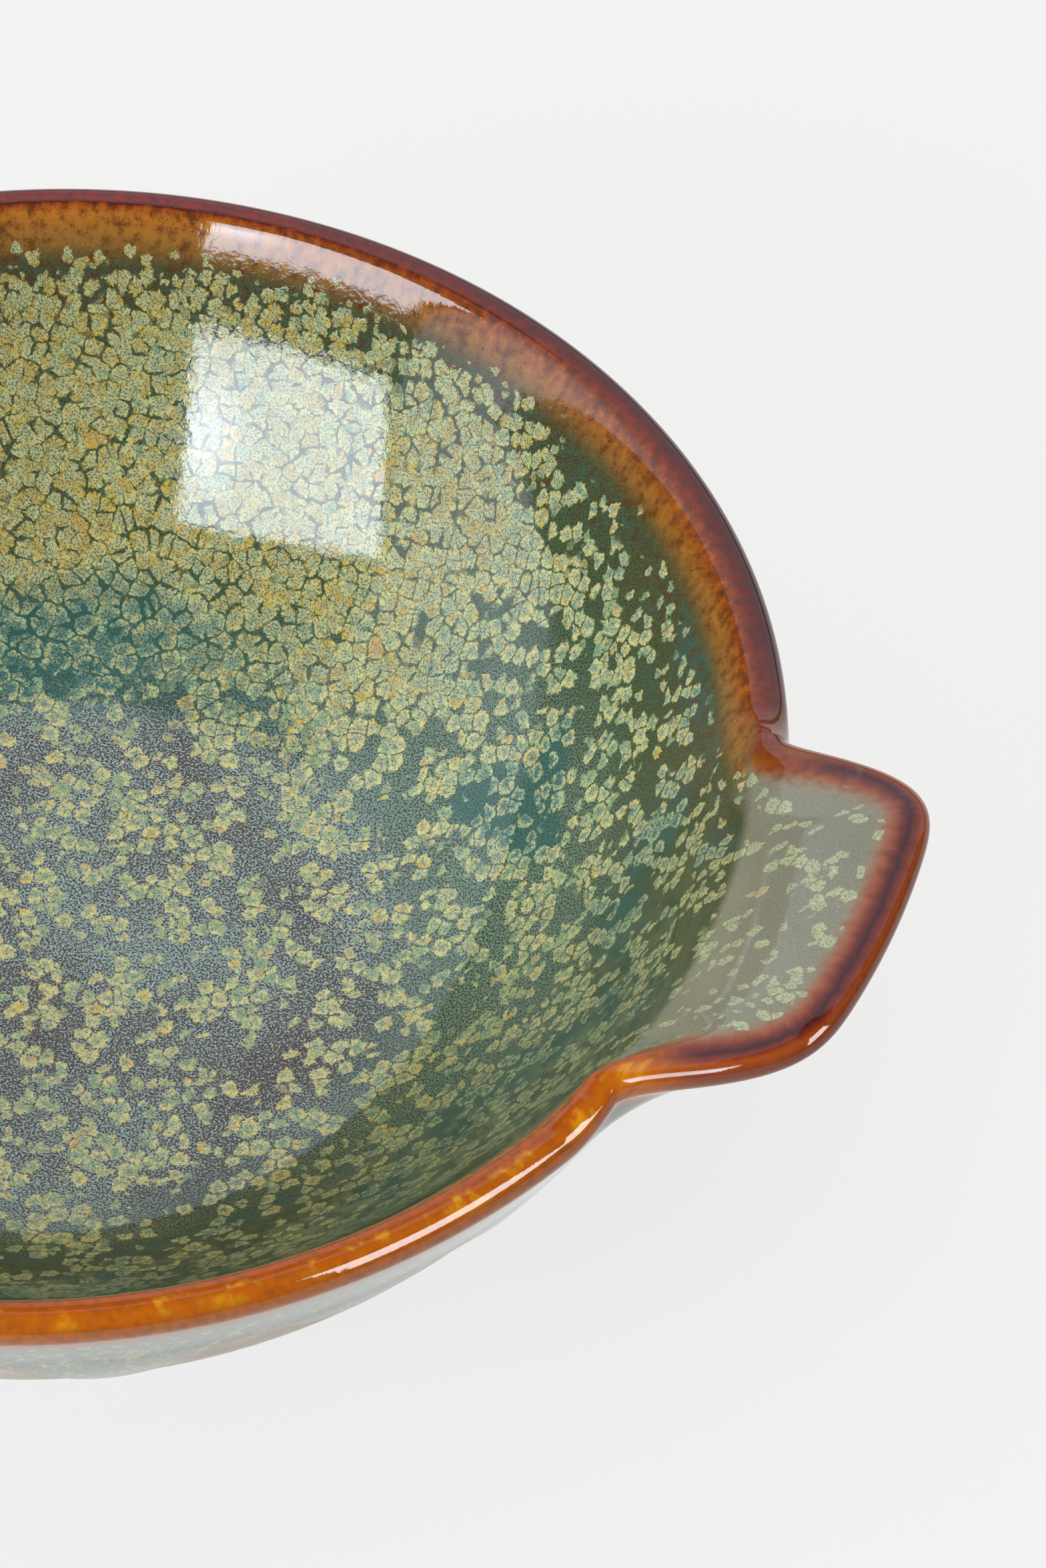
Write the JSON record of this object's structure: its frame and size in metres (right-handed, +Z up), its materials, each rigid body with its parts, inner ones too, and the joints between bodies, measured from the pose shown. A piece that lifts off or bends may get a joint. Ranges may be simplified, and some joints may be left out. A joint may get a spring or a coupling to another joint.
{
  "type": "dip bowl",
  "caption": "Round stoneware dip bowl with a flared lip, a raised lug to hold it by and a turned foot ring, glazed inside and over the rim and bare clay below.",
  "frame": {"origin": "middle of the outline seen from above, on the table plane under the foot ring", "axes": "+Z up out of the bowl, +X from the middle of the bowl towards the lug"},
  "size_m": [0.1199, 0.1086, 0.041],
  "materials": {
    "bare_clay": "matt, unglazed pale stoneware",
    "inner_glaze": "gloss reactive glaze, yellow-green crystals on dark green and teal",
    "rim_glaze": "gloss amber to maroon where the glaze runs thin over the edge",
    "lug_glaze": "gloss grey-green with pale crystals",
    "outer_glaze": "gloss grey-green ending in a rust-coloured wavy edge"
  },
  "bodies": {
    "root": {"stoneware_body": "bare_clay", "lug_handle": "bare_clay", "foot_ring": "bare_clay", "inner_glaze": "inner_glaze", "rim_glaze": "rim_glaze", "lug_face_glaze": "lug_glaze", "lug_edge_glaze": "rim_glaze", "lug_under_glaze": "lug_glaze", "outer_glaze": "outer_glaze"}
  },
  "joints": []
}
